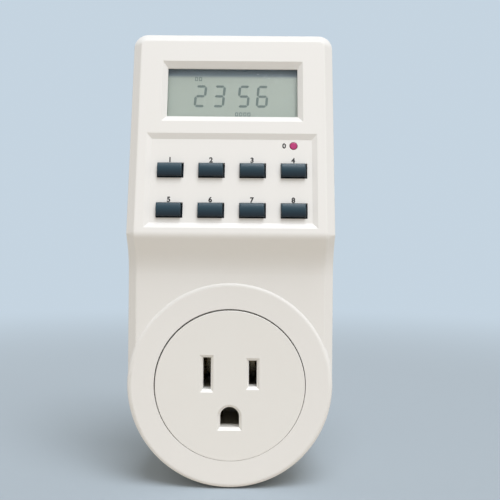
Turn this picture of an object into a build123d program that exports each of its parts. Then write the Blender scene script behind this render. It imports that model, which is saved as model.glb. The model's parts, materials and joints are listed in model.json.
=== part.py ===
from build123d import *
from math import cos, radians, sin, tan
import os

# Digital plug-in timer, in millimetres. +Z is up, the front looks along -Y, and the flat rear face
# meets the wall outlet at y = 0. The origin is on the rear face, midway between the plug blades.

os.makedirs("parts", exist_ok=True)

# Body
body_width = 57.2
body_top = 96.4
top_corner = 4.0
wall = 2.2
parting_depth = 14.0
neck_depth = 32.6
edge_bevel = 2.5
edge_soft = 0.7
rear_round = 1.2
lip_height = 1.4
lip_gap = 0.1
seam_bevel = 0.2
seat_gap = 0.05

# Display and key block: a wedge whose face leans back at the top
face_tilt = 11.1
block_depth = 37.2
block_low = 37.9
ramp_foot = 31.2
face_round_over = 0.1
foot_round = 12.0

# Socket boss and disc; the socket axis is a little below the line of the blades, and the disc lies
# a little to the right of the middle of its opening and below it
socket_drop = 3.1
boss_inset = 0.15
boss_rise = 0.4
boss_round = 1.3
disc_radius = 20.75
disc_gap = 0.25
disc_shift = 0.06
disc_sag = 0.2
disc_flange = 2.2
disc_flange_thick = 1.8
disc_edge = 0.15

# Standard three-pin plug and outlet
blade_spacing = 12.7
ground_drop = 11.9
blade_thick = 1.52
neutral_blade_width = 7.94
live_blade_width = 6.35
blade_length = 17.5
blade_hole_radius = 1.55
blade_hole_out = 11.7
blade_tip = 0.5
shoulder_width = 10.5
shoulder_depth = 2.0
live_blade_inside = 7.6
pin_radius = 2.375
pin_length = 20.6
pin_tip = 1.0
pin_collar_rim = 0.35
pin_flange_rim = 0.7
pin_flange_thick = 1.5
pin_tail_radius = 1.9
plug_clearance = 0.15
slot_side_play = 0.34
slot_end_play = 0.45
ground_hole_play = 0.275
ground_hole_foot = 3.0
slot_bevel = 0.75

# Display window; t runs up the slope from the lower edge of the face. The clear lens sits in a
# rebate behind a thin land round the opening.
window_width = 36.8
window_height = 14.5
window_t = 41.8
window_end_slope = 1.8
window_side_slope = 1.45
window_recess = 1.1
lens_land = 0.4
lens_margin = 1.0
lens_gap = 0.1
lens_thick = 0.8
glass_margin = 1.05
glass_thick = 1.1
glass_gap = 0.1
glass_ledge = 2.0
lcd_rim = 1.0
lcd_gap = 0.15
zebra_width = 1.6

# Key panel
panel_width = 47.4
panel_t_low = 2.2
panel_t_high = 29.25
panel_end_slope = 1.6
panel_side_slope = 1.45
panel_recess = 0.7

# Keys; the grid stands a little to the right, and each cap a little to the left in its opening
key_pitch = 11.36
key_middle = 0.2
key_shift = -0.2
key_row_low = 7.3
key_width = 6.75
key_height = 3.75
key_crown = 6.0
key_proud = 1.3
key_clearance = 0.3
key_round = 0.35
key_travel = 0.8
key_flange = 0.85
flange_thick = 0.8
flange_gap = 0.1
key_stem_radius = 1.7
reset_x = 17.15
reset_t = 25.9
reset_radius = 1.0
reset_clearance = 0.15
reset_proud = 0.15
reset_flange = 0.6
reset_round = 0.2

# Silicone keypad and control board, as depths under the face
board_under = 7.5
board_thick = 1.2
board_t_low = 2.1
board_top_room = 5.0
sheet_thick = 1.0
sheet_margin = 0.9
dome_gap = 0.05
dome_foot_radius = 3.0
dome_top_radius = 2.1
dome_skin = 0.7
dome_roof = 1.6
reset_dome_scale = 0.65
chip_place = (-8.0, 15.2)
chip_radius = 4.5
chip_height = 1.5
crystal_place = (9.0, 20.2)
crystal_radius = 1.5
crystal_length = 8.0
post_relief = 0.4

# Housing screws, driven from the rear
housing_post_inset = 2.9
housing_post_drop = 1.9
front_post_radius = 2.6
rear_post_radius = 4.0
post_gap = 0.1
screw_radius = 1.4
screw_length = 16.0
screw_head_radius = 2.7
screw_head_height = 2.2
screw_play = 0.1
screw_hole_play = 0.25
screw_tip_play = 0.6
head_play = 0.3
screw_seat_depth = 8.0

# Cross recess of every screw: its width, and its shares of the head's diameter and height
cross_width = 0.8
cross_span = 0.6
cross_sink = 0.46

# Board screws
board_post_gap = 0.4
board_post_inset = 1.5
board_post_low = 6.7
board_post_rise = 1.4
board_post_radius = 2.1
board_screw_radius = 0.8
board_screw_length = 4.6
board_head_radius = 1.9
board_head_height = 1.3

# Power board on the rear cover
power_depth = 5.0
power_thick = 1.6
power_post_room = 0.5
power_side_gap = 0.5
power_post_inset = 3.0
power_post_low = 3.4
power_post_high = 6.6
power_post_radius = 2.4
power_screw_length = 3.8

# Parts on the power board, as (x, z) places and (x, z, height) sizes
relay_place = (-12.75, 49.5)
relay_size = (15.5, 19.0, 15.3)
film_place = (6.0, 41.25)
film_size = (18.0, 8.5, 14.0)
case_round = 0.5
can_inset = 5.3
can_z = (46.4, 55.4)
can_radii = (4.0, 3.15)
can_heights = (12.0, 11.0)
varistor_place = (5.5, 51.0)
varistor_radius = 4.5
varistor_thick = 4.0
varistor_lift = 0.4
resistor_places = ((5.0, 58.0), (5.0, 63.0))
resistor_radius = 1.6
resistor_length = 9.0
diode_columns = (13.0, 16.5, 20.0, 23.5)
diode_z = 66.0
diode_radius = 1.35
diode_length = 5.2
transistor_place = (-1.0, 69.0)
transistor_radius = 2.3
transistor_height = 4.6
cell_place = (-13.0, 70.0)
cell_radius = 5.75
cell_height = 5.4
cell_round = 0.6
part_gap = 0.1

# Contacts and their carrier
carrier_side = 2.75
carrier_edge = 1.8
carrier_wall = 2.0
carrier_floor = 8.0
carrier_floor_thick = 1.5
carrier_gap = 0.1
contact_thick = 0.7
contact_width = 6.5
ground_contact_width = 5.0
blade_grip = 0.22
blade_mouth_flare = 1.9
blade_foot_flare = 3.1
pin_grip = 0.35
pin_mouth_flare = 1.0
pin_foot_flare = 1.4
pinch_depth = 23.0
straight_depth = 13.0
contact_tip_gap = 0.4
pocket_play = 0.5
tab_width = 2.5
tab_high = 8.6
tab_play = 0.4

# Wires
wire_radius = 0.75
wire_bend = 4.0
wire_end_bend = 1.6
live_wire_x = 12.0
neutral_wire_x = -14.0
switched_wire_inset = 8.0
switched_wire_rise = 4.8
ribbon_width = 8.0
ribbon_thick = 0.6
ribbon_x = 6.0
ribbon_t = 38.2
ribbon_foot_drop = 6.6
ribbon_lead = 3.2
ribbon_bend = 1.6

# Places worked out from the values above
half_width = body_width / 2
inner_half = half_width - wall
body_low = -half_width - socket_drop
tilt = radians(face_tilt)
face_length = (body_top - block_low) / cos(tilt)
face_round = edge_bevel + face_round_over
slope_dir = Vector(0, sin(tilt), cos(tilt))
face_out = Vector(0, -cos(tilt), sin(tilt))
face_origin = Vector(0, -block_depth, block_low)
block_back = -block_depth + (body_top - block_low) * tan(tilt)
socket_depth = neck_depth + boss_rise
disc_place = (disc_shift, -socket_drop - disc_sag)
disc_back = neck_depth - wall
flange_back = disc_back - seat_gap - disc_flange_thick
blade_x = blade_spacing / 2
pin_collar_radius = pin_radius + pin_collar_rim
pin_flange_radius = pin_collar_radius + pin_flange_rim
slot_width = blade_thick + 2 * slot_side_play
neutral_slot_height = neutral_blade_width + 2 * slot_end_play
live_slot_height = live_blade_width + 2 * slot_end_play
ground_hole_radius = pin_radius + ground_hole_play
blade_pinch = blade_thick - blade_grip
blade_mouth = blade_pinch + blade_mouth_flare
blade_foot = blade_pinch + blade_foot_flare
pin_pinch = 2 * pin_radius - pin_grip
pin_mouth = pin_pinch + pin_mouth_flare
pin_foot = pin_pinch + pin_foot_flare
panel_t = (panel_t_low + panel_t_high) / 2
panel_height = panel_t_high - panel_t_low
window_outer_width = window_width + 2 * window_side_slope
window_outer_height = window_height + 2 * window_end_slope
key_columns = [key_middle + key_pitch * (i - 1.5) for i in range(4)]
key_rows = [key_row_low + key_pitch, key_row_low]
key_names = [["key_week", "key_hour", "key_minute", "key_recall"],
             ["key_clock", "key_timer", "key_mode", "key_random"]]
flange_under = wall + flange_gap
stem_under = flange_under + flange_thick + key_travel
dome_under = stem_under + dome_gap
sheet_under = board_under - sheet_thick
dome_height = sheet_under - dome_under
lens_seat = window_recess + lens_land
lens_under = lens_seat + seat_gap
lens_width = window_width + 2 * lens_margin
lens_height = window_height + 2 * lens_margin
glass_under = max(wall, lens_under + lens_thick) + glass_gap
rear_glass_under = glass_under + glass_thick
glass_width = window_width + 2 * glass_margin
front_glass_height = lens_height + 2 * glass_ledge
zebra_offset = lens_height / 2 + glass_ledge - zebra_width / 2 - lcd_gap
lcd_inner_width = glass_width + 2 * lcd_gap
lcd_inner_height = front_glass_height + 2 * lcd_gap
board_back = board_under + board_thick
board_t_high = face_length - board_top_room
power_front = power_depth + power_thick
power_middle = power_depth + power_thick / 2
contact_base = carrier_floor + carrier_floor_thick
contact_middle = contact_base + contact_thick / 2
carrier_front = flange_back - carrier_gap
contact_tip = carrier_front - contact_tip_gap
housing_post_x = inner_half - housing_post_inset
housing_post_z = (ramp_foot - housing_post_drop, body_top - wall - housing_post_inset)
housing_posts = [(x, z) for z in housing_post_z for x in (-housing_post_x, housing_post_x)]
flange_reach = key_pitch * 1.5 + abs(key_middle + key_shift) + key_width / 2 + key_flange
frame_reach = lcd_inner_width / 2 + lcd_rim
board_post_x = max(flange_reach, frame_reach) + board_post_gap + board_post_radius
board_post_t = (board_post_low, panel_t_high + board_post_rise)
board_posts = [(x, t) for t in board_post_t for x in (-board_post_x, board_post_x)]
power_low = housing_post_z[0] + rear_post_radius + power_post_room
power_high = housing_post_z[1] - rear_post_radius - power_post_room
power_post_x = inner_half - power_side_gap - power_post_inset
power_post_z = (power_low + power_post_low, power_high - power_post_high)
power_posts = [(x, z) for z in power_post_z for x in (-power_post_x, power_post_x)]
can_x = inner_half - power_side_gap - can_inset
switched_wire_place = (inner_half - power_side_gap - switched_wire_inset, power_low + switched_wire_rise)
ribbon_foot = power_high - ribbon_foot_drop


def at_depth(depth):
    """Plane parallel to the wall, a depth in front of it; local x, y are x and z."""
    return Plane.XZ.offset(depth)


def under_face(under):
    """Plane parallel to the tilted face, a distance under it; local x, y are x and t."""
    return Plane(origin=face_origin - face_out * under, x_dir=(1, 0, 0), z_dir=face_out)


def key_section(x):
    """Plane square to the face and to x; local x is t, and local y is the way out of the face."""
    return Plane(origin=face_origin + Vector(x, 0, 0), x_dir=slope_dir, z_dir=(1, 0, 0))


def draw_outline(inset):
    """Front outline of the body: square shoulders above, a half circle round the socket below."""
    with Locations((0, -socket_drop)):
        Circle(half_width)
    with Locations((0, (body_top - socket_drop) / 2)):
        Rectangle(body_width, body_top + socket_drop)
    fillet(vertices().group_by(Axis.Y)[-1], top_corner)
    if inset > 0:
        offset(amount=-inset, kind=Kind.INTERSECTION)


def body_form(inset):
    """Solid body: the side profile across the width, trimmed to the front outline."""
    with BuildPart() as form:
        with BuildSketch(Plane.YZ.offset(-half_width)) as side:
            with BuildLine():
                Polyline((wall, body_low), (wall, body_top), (block_back, body_top),
                         (-block_depth, block_low), (-neck_depth, ramp_foot),
                         (-neck_depth, body_low), close=True)
            make_face()
            if inset > 0:
                offset(amount=-inset, kind=Kind.INTERSECTION)
            else:
                fillet(side.vertices().sort_by_distance((-block_depth, block_low))[0], face_round)
                fillet(side.vertices().sort_by_distance((-neck_depth, ramp_foot))[0], foot_round)
        extrude(amount=body_width)
        with BuildSketch(at_depth(-wall)):
            draw_outline(inset)
        extrude(amount=wall + block_depth, mode=Mode.INTERSECT)
    return form.part


def front_rim(solid):
    """Edges that run round the front of a body form."""
    ahead = solid.edges().filter_by(lambda edge: edge.center().Y < -parting_depth)
    crossing = ahead.filter_by(Axis.X).filter_by(lambda edge: edge.center().Z < body_top - wall)
    return [edge for edge in ahead.filter_by(Axis.Y, reverse=True) if edge not in crossing]


def bevelled(solid, bevel):
    """The form with its front rim bevelled and both edges of the bevel softened."""
    cut = solid.chamfer(bevel, None, front_rim(solid))
    return cut.fillet(edge_soft, front_rim(cut))


def draw_slots(grow):
    """Blade slots and the D-shaped ground hole."""
    with Locations((-blade_x, 0)):
        Rectangle(slot_width + 2 * grow, neutral_slot_height + 2 * grow)
    with Locations((blade_x, 0)):
        Rectangle(slot_width + 2 * grow, live_slot_height + 2 * grow)
    with Locations((0, -ground_drop)):
        Circle(ground_hole_radius + grow)
    with Locations((0, -ground_drop - (ground_hole_foot + grow) / 2)):
        Rectangle(2 * (ground_hole_radius + grow), ground_hole_foot + grow)


# Front cover: white shell with the display and key block above the socket boss
with BuildPart() as boss:
    with BuildSketch(at_depth(neck_depth - 2 * edge_bevel)):
        with Locations((0, -socket_drop)):
            Circle(half_width - boss_inset)
    extrude(amount=2 * edge_bevel + boss_rise)
    fillet(faces().sort_by(Axis.Y)[0].edges(), boss_round)

with BuildPart() as front_posts:
    with BuildSketch(at_depth(parting_depth + post_gap)):
        with Locations(*housing_posts):
            Circle(front_post_radius)
    extrude(amount=block_depth)
    add(body_form(wall / 2), mode=Mode.INTERSECT)

with BuildPart() as front_cover:
    add(bevelled(body_form(0), edge_bevel))
    split(bisect_by=at_depth(parting_depth), keep=Keep.TOP)
    chamfer(faces().sort_by(Axis.Y)[-1].edges(), seam_bevel)
    add(boss.part)
    add(body_form(wall), mode=Mode.SUBTRACT)
    with BuildSketch(at_depth(parting_depth)):
        draw_outline(wall / 2)
    extrude(amount=lip_height + lip_gap, mode=Mode.SUBTRACT)
    with BuildSketch(at_depth(parting_depth)):
        with Locations((0, -socket_drop)):
            Circle(disc_radius + disc_gap)
    extrude(amount=block_depth, mode=Mode.SUBTRACT)
    with BuildSketch(under_face(0)):
        with Locations((0, window_t)):
            Rectangle(window_outer_width, window_outer_height)
    with BuildSketch(under_face(window_recess)):
        with Locations((0, window_t)):
            Rectangle(window_width, window_height)
    loft(ruled=True, mode=Mode.SUBTRACT)
    with BuildSketch(under_face(0)):
        with Locations((0, panel_t)):
            Rectangle(panel_width, panel_height)
    with BuildSketch(under_face(panel_recess)):
        with Locations((0, panel_t)):
            Rectangle(panel_width - 2 * panel_side_slope, panel_height - 2 * panel_end_slope)
    loft(ruled=True, mode=Mode.SUBTRACT)
    with BuildSketch(under_face(2 * wall)):
        with Locations((0, window_t)):
            Rectangle(window_width, window_height)
        with Locations(*[(x, t) for x in key_columns for t in key_rows]):
            Rectangle(key_width + 2 * key_clearance, key_height + 2 * key_clearance)
        with Locations((reset_x, reset_t)):
            Circle(reset_radius + reset_clearance)
    extrude(amount=3 * wall, mode=Mode.SUBTRACT)
    with BuildSketch(under_face(2 * wall)):
        with Locations((0, window_t)):
            Rectangle(lens_width + 2 * lens_gap, lens_height + 2 * lens_gap)
    extrude(amount=2 * wall - lens_seat, mode=Mode.SUBTRACT)
    add(front_posts.part)
    with BuildSketch(at_depth(parting_depth)):
        with Locations(*housing_posts):
            Circle(screw_radius + screw_play)
    extrude(amount=screw_seat_depth + screw_length + screw_tip_play - parting_depth, mode=Mode.SUBTRACT)
    with BuildSketch(under_face(board_under - seat_gap)):
        with Locations(*board_posts):
            Circle(board_post_radius)
    extrude(amount=board_under - seat_gap - (wall + panel_recess) / 2)
    with BuildSketch(under_face(board_under)):
        with Locations(*board_posts):
            Circle(board_screw_radius + screw_play)
    extrude(amount=board_screw_length - board_thick + screw_tip_play, mode=Mode.SUBTRACT)
front_cover.part.label = "front_cover"
export_step(front_cover.part, "parts/front_cover.step")

# Rear cover: tray that sits on the wall outlet, with the screw posts and the lip of the joint
with BuildPart() as rear_cover:
    with BuildSketch(at_depth(0)):
        draw_outline(0)
    extrude(amount=parting_depth)
    fillet(faces().sort_by(Axis.Y)[-1].edges(), rear_round)
    chamfer(faces().sort_by(Axis.Y)[0].edges(), seam_bevel)
    with BuildSketch(at_depth(wall)):
        draw_outline(wall)
    extrude(amount=parting_depth, mode=Mode.SUBTRACT)
    with BuildSketch(at_depth(parting_depth - lip_height)):
        draw_outline(wall / 2 + lip_gap)
    extrude(amount=2 * lip_height)
    with BuildSketch(at_depth(wall)):
        draw_outline(wall)
    extrude(amount=parting_depth, mode=Mode.SUBTRACT)
    with BuildSketch(at_depth(wall / 2)):
        with Locations(*housing_posts):
            Circle(rear_post_radius)
    extrude(amount=parting_depth - wall / 2)
    with BuildSketch(at_depth(wall / 2)):
        with Locations(*power_posts):
            Circle(power_post_radius)
    extrude(amount=power_depth - seat_gap - wall / 2)
    with BuildSketch(at_depth(0)):
        draw_outline(0)
    extrude(amount=parting_depth + lip_height, mode=Mode.INTERSECT)
    with BuildSketch(at_depth(0)):
        with Locations(*housing_posts):
            Circle(screw_head_radius + head_play)
    extrude(amount=screw_seat_depth, mode=Mode.SUBTRACT)
    with BuildSketch(at_depth(0)):
        with Locations(*housing_posts):
            Circle(screw_radius + screw_hole_play)
        with Locations((-blade_x, 0)):
            Rectangle(blade_thick + 2 * plug_clearance, neutral_blade_width + 2 * plug_clearance)
        with Locations((blade_x, 0)):
            Rectangle(blade_thick + 2 * plug_clearance, live_blade_width + 2 * plug_clearance)
        with Locations((0, -ground_drop)):
            Circle(pin_collar_radius + plug_clearance)
    extrude(amount=parting_depth, mode=Mode.SUBTRACT)
    with BuildSketch(at_depth(wall)):
        with Locations(*power_posts):
            Circle(board_screw_radius + screw_play)
    extrude(amount=power_depth - wall, mode=Mode.SUBTRACT)
rear_cover.part.label = "rear_cover"
export_step(rear_cover.part, "parts/rear_cover.step")

# Socket disc: round face with the slots, held behind the boss by its flange
with BuildPart() as socket_face:
    with BuildSketch(at_depth(flange_back)):
        with Locations(disc_place):
            Circle(disc_radius + disc_flange)
    extrude(amount=disc_flange_thick)
    with BuildSketch(at_depth(flange_back)):
        with Locations(disc_place):
            Circle(disc_radius)
    extrude(amount=socket_depth - flange_back)
    chamfer(faces().sort_by(Axis.Y)[0].edges(), disc_edge)
    with BuildSketch(at_depth(flange_back)):
        draw_slots(0)
    extrude(amount=socket_depth - flange_back, mode=Mode.SUBTRACT)
    slot_rims = faces().sort_by(Axis.Y)[0].inner_wires().edges()
    chamfer(slot_rims, slot_bevel)
socket_face.part.label = "socket_face"
export_step(socket_face.part, "parts/socket_face.step")

# Plug blades and ground pin; the ground pin and the neutral blade run through to their contacts


def blade(x, width, inside):
    """Flat brass blade with its shoulder on the rear cover's floor."""
    with BuildPart() as bar:
        with BuildSketch(at_depth(-blade_length)):
            with Locations((x, 0)):
                Rectangle(blade_thick, width)
        extrude(amount=blade_length + inside)
        chamfer(faces().sort_by(Axis.Y)[-1].edges(), blade_tip)
        with BuildSketch(at_depth(wall + seat_gap)):
            with Locations((x, 0)):
                Rectangle(blade_thick, shoulder_width)
        extrude(amount=shoulder_depth)
        with BuildSketch(Plane.YZ.offset(x - blade_thick)):
            with Locations((blade_hole_out, 0)):
                Circle(blade_hole_radius)
        extrude(amount=2 * blade_thick, mode=Mode.SUBTRACT)
    return bar.part


neutral_blade = blade(-blade_x, neutral_blade_width, contact_base)
neutral_blade.label = "neutral_blade"
export_step(neutral_blade, "parts/neutral_blade.step")

live_blade = blade(blade_x, live_blade_width, live_blade_inside)
live_blade.label = "live_blade"
export_step(live_blade, "parts/live_blade.step")

with BuildPart() as ground_pin:
    with BuildSketch(at_depth(-pin_length)):
        with Locations((0, -ground_drop)):
            Circle(pin_radius)
    extrude(amount=pin_length)
    fillet(faces().sort_by(Axis.Y)[-1].edges(), pin_tip)
    with BuildSketch(at_depth(0)):
        with Locations((0, -ground_drop)):
            Circle(pin_collar_radius)
    extrude(amount=wall + seat_gap)
    with BuildSketch(at_depth(wall + seat_gap)):
        with Locations((0, -ground_drop)):
            Circle(pin_flange_radius)
    extrude(amount=pin_flange_thick)
    with BuildSketch(at_depth(wall + seat_gap)):
        with Locations((0, -ground_drop)):
            Circle(pin_tail_radius)
    extrude(amount=contact_base - wall - seat_gap)
ground_pin.part.label = "ground_pin"
export_step(ground_pin.part, "parts/ground_pin.step")

# Contact carrier: insulating block, open to the front over the contacts and hollow under its floor
pocket_half_height = neutral_slot_height / 2 + pocket_play / 2
blade_pocket = blade_foot + 2 * contact_thick + 2 * pocket_play
pin_pocket = pin_foot + 2 * contact_thick + 2 * pocket_play
carrier_half_width = blade_x + blade_pocket / 2 + carrier_side
carrier_low = -ground_drop - pin_pocket / 2 - carrier_edge
carrier_high = pocket_half_height + carrier_edge
with BuildPart() as contact_carrier:
    with BuildSketch(at_depth(wall + seat_gap)):
        with Locations((0, (carrier_low + carrier_high) / 2)):
            Rectangle(2 * carrier_half_width, carrier_high - carrier_low)
    extrude(amount=carrier_front - wall - seat_gap)
    with BuildSketch(at_depth(wall + seat_gap)):
        with Locations((0, (carrier_low + carrier_high) / 2 + carrier_wall)):
            Rectangle(2 * (carrier_half_width - carrier_wall), carrier_high - carrier_low)
    extrude(amount=carrier_floor - wall - seat_gap, mode=Mode.SUBTRACT)
    with BuildSketch(at_depth(contact_base)):
        with Locations((-blade_x, 0), (blade_x, 0)):
            Rectangle(blade_pocket, 2 * pocket_half_height)
        with Locations((0, -ground_drop)):
            Rectangle(pin_pocket, pin_pocket)
    extrude(amount=carrier_front - contact_base, mode=Mode.SUBTRACT)
    with BuildSketch(at_depth(carrier_floor)):
        with Locations((-blade_x, 0)):
            Rectangle(blade_thick + 2 * plug_clearance, neutral_blade_width + 2 * plug_clearance)
        with Locations((0, -ground_drop)):
            Circle(pin_tail_radius + plug_clearance)
    extrude(amount=carrier_floor_thick, mode=Mode.SUBTRACT)
    with BuildSketch(at_depth(contact_base)):
        with Locations((blade_x, carrier_high)):
            Rectangle(tab_width + 2 * tab_play, 2 * (carrier_high - pocket_half_height) + tab_play)
    extrude(amount=contact_thick + tab_play, mode=Mode.SUBTRACT)
contact_carrier.part.label = "contact_carrier"
export_step(contact_carrier.part, "parts/contact_carrier.step")

# Spring contacts: brass strips bent to a U, pinched in towards the tip and flared at the mouth


def clip(place, width, foot, pinch, mouth):
    """One contact at an (x, z) place: a foot strip and two tines, drawn across the blade's width."""
    low = place[1] - width / 2
    with BuildPart() as strip:
        with BuildSketch(Plane(origin=(place[0], 0, low), x_dir=(1, 0, 0), z_dir=(0, 0, 1))):
            with BuildLine():
                Polyline((foot / 2, -contact_base), (foot / 2, -straight_depth),
                         (pinch / 2, -pinch_depth), (mouth / 2, -contact_tip),
                         (mouth / 2 + contact_thick, -contact_tip),
                         (pinch / 2 + contact_thick, -pinch_depth),
                         (foot / 2 + contact_thick, -straight_depth),
                         (foot / 2 + contact_thick, -contact_base), close=True)
            make_face()
            mirror(about=Plane.YZ)
            with Locations((0, -contact_middle)):
                Rectangle(foot + 2 * contact_thick, contact_thick)
        extrude(amount=width)
    return strip.part


neutral_contact = clip((-blade_x, 0), contact_width, blade_foot, blade_pinch, blade_mouth)
neutral_contact.label = "neutral_contact"
export_step(neutral_contact, "parts/neutral_contact.step")

with BuildPart() as live_contact:
    add(clip((blade_x, 0), contact_width, blade_foot, blade_pinch, blade_mouth))
    with BuildSketch(at_depth(contact_base)):
        with Locations((blade_x, tab_high / 2)):
            Rectangle(tab_width, tab_high)
    extrude(amount=contact_thick)
live_contact.part.label = "live_contact"
export_step(live_contact.part, "parts/live_contact.step")

ground_contact = clip((0, -ground_drop), ground_contact_width, pin_foot, pin_pinch, pin_mouth)
ground_contact.label = "ground_contact"
export_step(ground_contact, "parts/ground_contact.step")

# Display: clear window, two glass plates, their frame and the rubber connector strips


def face_plate(width, height, under, thick):
    """Flat plate centred on the window, parallel to the face."""
    with BuildPart() as plate:
        with BuildSketch(under_face(under + thick)):
            with Locations((0, window_t)):
                Rectangle(width, height)
        extrude(amount=thick)
    return plate.part


display_lens = face_plate(lens_width, lens_height, lens_under, lens_thick)
display_lens.label = "display_lens"
export_step(display_lens, "parts/display_lens.step")

lcd_front_plate = face_plate(glass_width, front_glass_height, glass_under, glass_thick)
lcd_front_plate.label = "lcd_front_plate"
export_step(lcd_front_plate, "parts/lcd_front_plate.step")

lcd_rear_plate = face_plate(glass_width, lens_height, rear_glass_under, glass_thick)
lcd_rear_plate.label = "lcd_rear_plate"
export_step(lcd_rear_plate, "parts/lcd_rear_plate.step")

with BuildPart() as lcd_frame:
    with BuildSketch(under_face(board_under - seat_gap)):
        with Locations((0, window_t)):
            Rectangle(lcd_inner_width + 2 * lcd_rim, lcd_inner_height + 2 * lcd_rim)
            Rectangle(lcd_inner_width, lcd_inner_height, mode=Mode.SUBTRACT)
    extrude(amount=board_under - seat_gap - wall - seat_gap)
    with BuildSketch(at_depth(0)):
        with Locations(*housing_posts):
            Circle(front_post_radius + post_relief)
    extrude(amount=block_depth, mode=Mode.SUBTRACT)
lcd_frame.part.label = "lcd_frame"
export_step(lcd_frame.part, "parts/lcd_frame.step")

with BuildPart() as zebra_strips:
    with BuildSketch(under_face(board_under)):
        with Locations((0, window_t - zebra_offset), (0, window_t + zebra_offset)):
            Rectangle(glass_width - 2 * lcd_gap, zebra_width)
    extrude(amount=board_under - rear_glass_under)
zebra_strips.part.label = "zebra_strips"
export_step(zebra_strips.part, "parts/zebra_strips.step")

# Control board behind the display and the keys, with its chip and clock crystal
with BuildPart() as display_board:
    with BuildSketch(under_face(board_back)):
        with Locations((0, (board_t_low + board_t_high) / 2)):
            Rectangle(2 * (board_post_x + board_post_inset), board_t_high - board_t_low)
        with Locations(*board_posts):
            Circle(board_screw_radius + screw_hole_play, mode=Mode.SUBTRACT)
    extrude(amount=board_thick)
    with BuildSketch(at_depth(0)):
        with Locations(*housing_posts):
            Circle(front_post_radius + post_relief)
    extrude(amount=block_depth, mode=Mode.SUBTRACT)
display_board.part.label = "display_board"
export_step(display_board.part, "parts/display_board.step")

with BuildPart() as controller_chip:
    with BuildSketch(under_face(board_back + chip_height)):
        with Locations(chip_place):
            Circle(chip_radius)
    extrude(amount=chip_height)
    fillet(faces().sort_by(Axis.Y)[-1].edges(), chip_height / 2)
controller_chip.part.label = "controller_chip"
export_step(controller_chip.part, "parts/controller_chip.step")

with BuildPart() as quartz_crystal:
    with BuildSketch(key_section(crystal_place[0] - crystal_length / 2)):
        with Locations((crystal_place[1], -board_back - crystal_radius - part_gap)):
            Circle(crystal_radius)
    extrude(amount=crystal_length)
quartz_crystal.part.label = "quartz_crystal"
export_step(quartz_crystal.part, "parts/quartz_crystal.step")

# Silicone keypad: a sheet on the board with a hollow dome under every key and under the reset button
sheet_t_low = key_row_low - dome_foot_radius - sheet_margin
sheet_t_high = reset_t + dome_foot_radius * reset_dome_scale + sheet_margin
sheet_half_width = key_columns[-1] + dome_foot_radius + sheet_margin
key_places = [(x, t) for x in key_columns for t in key_rows]
dome_places = [(place, 1.0) for place in key_places] + [((reset_x, reset_t), reset_dome_scale)]
with BuildPart(under_face(sheet_under)) as keypad_membrane:
    with Locations((0, (sheet_t_low + sheet_t_high) / 2, -sheet_thick / 2)):
        Box(2 * sheet_half_width, sheet_t_high - sheet_t_low, sheet_thick)
    for place, scale in dome_places:
        with Locations((place[0], place[1], 0)):
            Cone(dome_foot_radius * scale, dome_top_radius * scale, dome_height,
                 align=(Align.CENTER, Align.CENTER, Align.MIN))
    for place, scale in dome_places:
        with Locations((place[0], place[1], -sheet_thick)):
            Cone(dome_foot_radius * scale - dome_skin, dome_top_radius * scale - dome_skin,
                 sheet_thick + dome_height - dome_roof,
                 align=(Align.CENTER, Align.CENTER, Align.MIN), mode=Mode.SUBTRACT)
keypad_membrane.part.label = "keypad_membrane"
export_step(keypad_membrane.part, "parts/keypad_membrane.step")

# Keys: crowned caps that stand out of the panel, with a flange behind it and a stem on the dome


def key_cap(x, t):
    """One key at its place on the face."""
    middle = x + key_shift
    top = key_proud - panel_recess
    half = key_height / 2
    crown_drop = key_crown - (key_crown ** 2 - half ** 2) ** 0.5
    with BuildPart() as key:
        with BuildSketch(key_section(middle - key_width / 2)):
            with BuildLine():
                Polyline((t - half, top - crown_drop), (t - half, -flange_under),
                         (t + half, -flange_under), (t + half, top - crown_drop))
                ThreePointArc((t + half, top - crown_drop), (t, top), (t - half, top - crown_drop))
            make_face()
        extrude(amount=key_width)
        ahead = edges().filter_by(lambda edge: edge.center().dot(face_out) > face_origin.dot(face_out))
        fillet(ahead, key_round)
        with BuildSketch(under_face(flange_under + flange_thick)):
            with Locations((middle, t)):
                Rectangle(key_width + 2 * key_flange, key_height + 2 * key_flange)
        extrude(amount=flange_thick)
        with BuildSketch(under_face(stem_under)):
            with Locations((x, t)):
                Circle(key_stem_radius)
        extrude(amount=stem_under - flange_under)
    return key.part


for row, names in zip(key_rows, key_names):
    for column, name in zip(key_columns, names):
        key_piece = key_cap(column, row)
        key_piece.label = name
        export_step(key_piece, f"parts/{name}.step")

# Reset button: small round plunger with its own flange and dome
with BuildPart() as reset_button:
    with BuildSketch(under_face(stem_under)):
        with Locations((reset_x, reset_t)):
            Circle(reset_radius)
    extrude(amount=stem_under - panel_recess + reset_proud)
    fillet(faces().sort_by(Axis.Y)[0].edges(), reset_round)
    with BuildSketch(under_face(flange_under + flange_thick)):
        with Locations((reset_x, reset_t)):
            Circle(reset_radius + reset_flange)
    extrude(amount=flange_thick)
reset_button.part.label = "reset_button"
export_step(reset_button.part, "parts/reset_button.step")

# Power board with the switching relay and its supply
with BuildPart() as power_board:
    with BuildSketch(at_depth(power_depth)):
        with Locations((0, (power_low + power_high) / 2)):
            Rectangle(2 * (inner_half - power_side_gap), power_high - power_low)
        with Locations(*power_posts):
            Circle(board_screw_radius + screw_hole_play, mode=Mode.SUBTRACT)
    extrude(amount=power_thick)
power_board.part.label = "power_board"
export_step(power_board.part, "parts/power_board.step")


def box_part(place, size):
    """Moulded case standing on the power board."""
    with BuildPart() as case:
        with BuildSketch(at_depth(power_front)):
            with Locations(place):
                Rectangle(size[0], size[1])
        extrude(amount=size[2])
        fillet(edges().filter_by(Axis.Y) + faces().sort_by(Axis.Y)[0].edges(), case_round)
    return case.part


relay = box_part(relay_place, relay_size)
relay.label = "relay"
export_step(relay, "parts/relay.step")

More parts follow.
